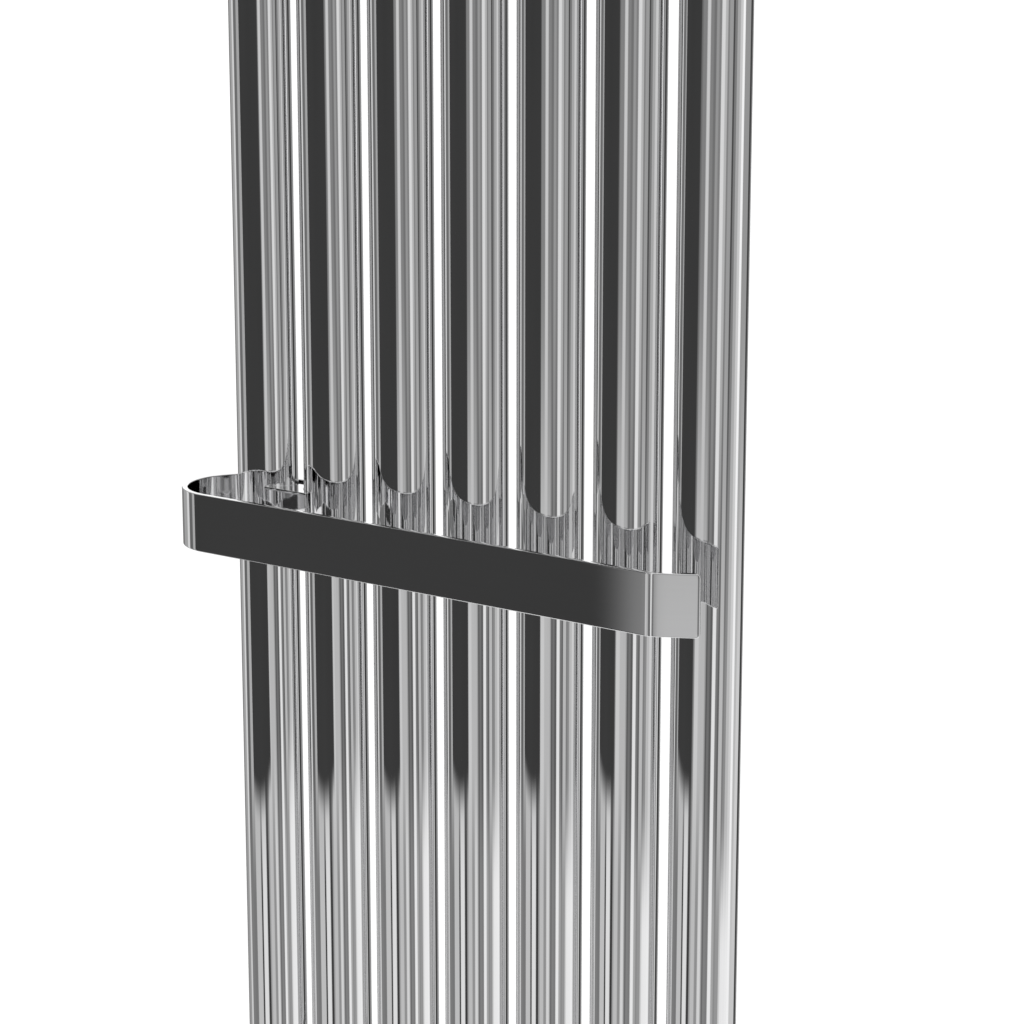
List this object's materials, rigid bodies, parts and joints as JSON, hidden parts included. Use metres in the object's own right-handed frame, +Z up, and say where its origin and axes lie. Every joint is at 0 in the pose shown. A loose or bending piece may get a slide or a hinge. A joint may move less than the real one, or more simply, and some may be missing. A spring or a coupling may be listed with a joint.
{
  "type": "towel warmer rack",
  "caption": "Vertical chrome radiator of upright oval tubes on two rear headers, with a flat-bar towel rail hooked round the left tube, clamped in a gap and free at the right.",
  "frame": {"origin": "centre of the rectangle of the four wall screw holes, on the wall plane", "axes": "+X to the right as seen from the front, -Y towards the viewer and +Y into the wall, +Z up"},
  "size_m": [0.4365, 0.147, 1.8],
  "materials": {
    "tube_chrome": "bright polished chrome with faint drawing lines",
    "fitting_chrome": "bright chrome",
    "rail_chrome": "bright chrome, slightly softer on the flat faces",
    "weld_steel": "plain steel, welded",
    "bracket_steel": "satin nickel plate",
    "zinc_steel": "zinc plate",
    "seal_rubber": "matt black rubber",
    "pad_rubber": "matt grey silicone strip"
  },
  "bodies": {
    "radiator": {"tube_1": "tube_chrome", "tube_2": "tube_chrome", "tube_3": "tube_chrome", "tube_4": "tube_chrome", "tube_5": "tube_chrome", "tube_6": "tube_chrome", "tube_7": "tube_chrome", "top_cap_1": "tube_chrome", "top_cap_2": "tube_chrome", "top_cap_3": "tube_chrome", "top_cap_4": "tube_chrome", "top_cap_5": "tube_chrome", "top_cap_6": "tube_chrome", "top_cap_7": "tube_chrome", "base_cap_1": "tube_chrome", "base_cap_2": "tube_chrome", "base_cap_3": "tube_chrome", "base_cap_4": "tube_chrome", "base_cap_5": "tube_chrome", "base_cap_6": "tube_chrome", "base_cap_7": "tube_chrome", "upper_header": "fitting_chrome", "lower_header": "fitting_chrome", "upper_nipples": "weld_steel", "lower_nipples": "weld_steel", "flow_baffle": "weld_steel", "inlet_socket": "fitting_chrome", "outlet_socket": "fitting_chrome", "vent_socket": "fitting_chrome", "plug_socket": "fitting_chrome", "blanking_plug": "fitting_chrome", "plug_seal": "seal_rubber", "vent_body": "fitting_chrome", "vent_seal": "seal_rubber", "sleeve_upper_left": "bracket_steel", "sleeve_upper_right": "bracket_steel", "sleeve_lower_left": "bracket_steel", "sleeve_lower_right": "bracket_steel", "stand_upper_left": "bracket_steel", "stand_upper_right": "bracket_steel", "stand_lower_left": "bracket_steel", "stand_lower_right": "bracket_steel", "grub_upper_left": "zinc_steel", "grub_upper_right": "zinc_steel", "grub_lower_left": "zinc_steel", "grub_lower_right": "zinc_steel"},
    "towel_rail": {"rail_strip": "rail_chrome", "clamp_block": "rail_chrome", "clamp_pad": "pad_rubber", "clamp_screw": "zinc_steel", "clamp_nut": "zinc_steel"},
    "vent_screw": {"vent_screw": "zinc_steel"}
  },
  "joints": [
    {"name": "rail_height", "type": "slide", "parent": "radiator", "child": "towel_rail", "axis": [0, 0, 1], "range_m": [-0.36, 1.22]},
    {"name": "vent_turn", "type": "hinge", "parent": "radiator", "child": "vent_screw", "pos_m": [-0.212, -0.052, 0.84], "axis": [-1, 0, 0], "range_deg": [0, 360]}
  ]
}
